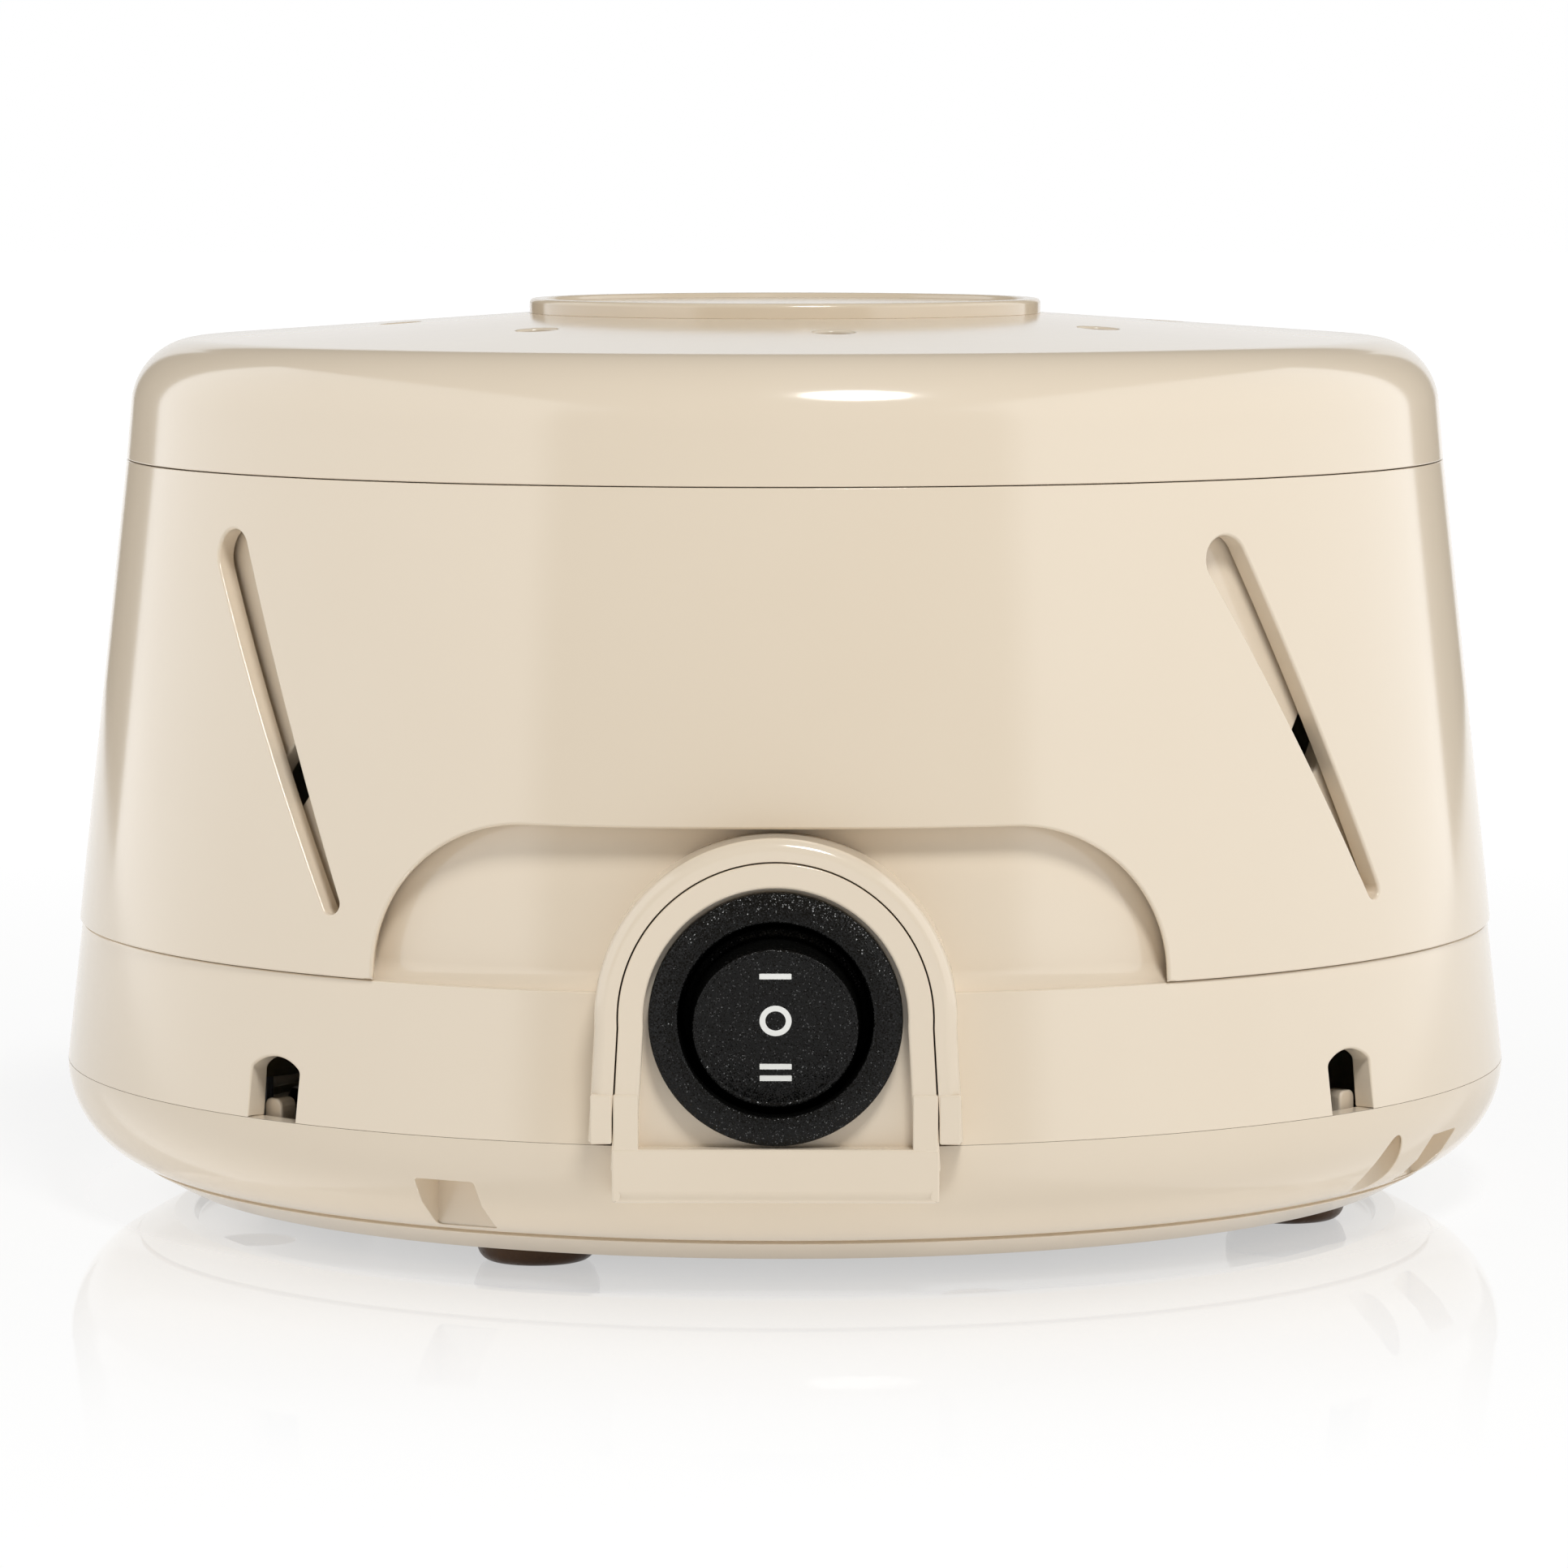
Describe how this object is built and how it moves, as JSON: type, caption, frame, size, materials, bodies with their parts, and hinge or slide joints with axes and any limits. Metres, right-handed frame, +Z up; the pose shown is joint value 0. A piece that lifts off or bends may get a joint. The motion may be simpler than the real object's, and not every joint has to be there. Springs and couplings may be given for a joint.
{
  "type": "white noise machine",
  "caption": "Round fan-driven white noise machine with a turning slotted collar, a turning cap, a round three-position rocker switch and rubber feet",
  "frame": {"origin": "on the upright axis of the round housing, at the height of the table under the feet", "axes": "+Z up, the switch faces -Y, +X to the right of a viewer who faces the switch"},
  "size_m": [0.146, 0.1525, 0.0905],
  "materials": {
    "shell": "smooth glossy beige moulded shell",
    "disc": "smooth glossy beige disc",
    "foot_rubber": "moulded dark brown rubber",
    "switch_black": "fine sparked black plastic",
    "terminal_brass": "plain strip",
    "zinc_steel": "zinc plated",
    "sheet_steel": "plain rolled",
    "lamination": "oiled stack of laminations",
    "copper": "bare copper bar",
    "winding": "enamelled copper wire under tape",
    "nylon": "natural nylon",
    "bronze": "sintered bronze",
    "cast_zinc": "die cast",
    "ground_steel": "ground steel",
    "grommet_rubber": "soft black rubber",
    "wire_pvc": "black insulated wire"
  },
  "bodies": {
    "base": {"bottom_pan": "shell", "main_housing": "shell", "foot_front_right": "foot_rubber", "foot_rear_right": "foot_rubber", "foot_rear_left": "foot_rubber", "foot_front_left": "foot_rubber", "housing_screws": "zinc_steel", "switch_body": "switch_black", "switch_terminals": "terminal_brass", "motor_plate": "sheet_steel", "grommet_front_right": "grommet_rubber", "grommet_rear_right": "grommet_rubber", "grommet_rear_left": "grommet_rubber", "grommet_front_left": "grommet_rubber", "plate_screws": "zinc_steel", "stator_core": "lamination", "core_bar": "lamination", "shading_rings": "copper", "coil_bobbin": "nylon", "coil_winding": "winding", "upper_bracket": "cast_zinc", "lower_bracket": "cast_zinc", "upper_bush": "bronze", "lower_bush": "bronze", "motor_screws": "zinc_steel", "motor_nuts": "zinc_steel", "pivot_screw": "zinc_steel", "pivot_washer": "sheet_steel", "cord_inlet": "switch_black", "lead_wires": "wire_pvc"},
    "collar": {"tone_collar": "shell"},
    "cap": {"cap_shell": "shell", "top_disc": "disc"},
    "rotor": {"motor_shaft": "ground_steel", "rotor_core": "lamination", "thrust_washers": "nylon", "fan_wheel": "nylon", "fan_clip": "sheet_steel"},
    "rocker": {"rocker_button": "switch_black"}
  },
  "joints": [
    {"name": "collar_turn", "type": "hinge", "parent": "base", "child": "collar", "pos_m": [0, 0, 0.0513], "axis": [0, 0, 1], "range_deg": [-16.4, 17.8]},
    {"name": "cap_turn", "type": "hinge", "parent": "base", "child": "cap", "pos_m": [0, 0, 0.0846], "axis": [0, 0, 1], "continuous": true},
    {"name": "rocker_tilt", "type": "hinge", "parent": "base", "child": "rocker", "pos_m": [0, -0.0707, 0.02607], "axis": [1, 0, 0], "range_deg": [-24, 0]},
    {"name": "rotor_spin", "type": "hinge", "parent": "base", "child": "rotor", "pos_m": [0, 0, 0.0425], "axis": [0, 0, 1], "continuous": true}
  ]
}
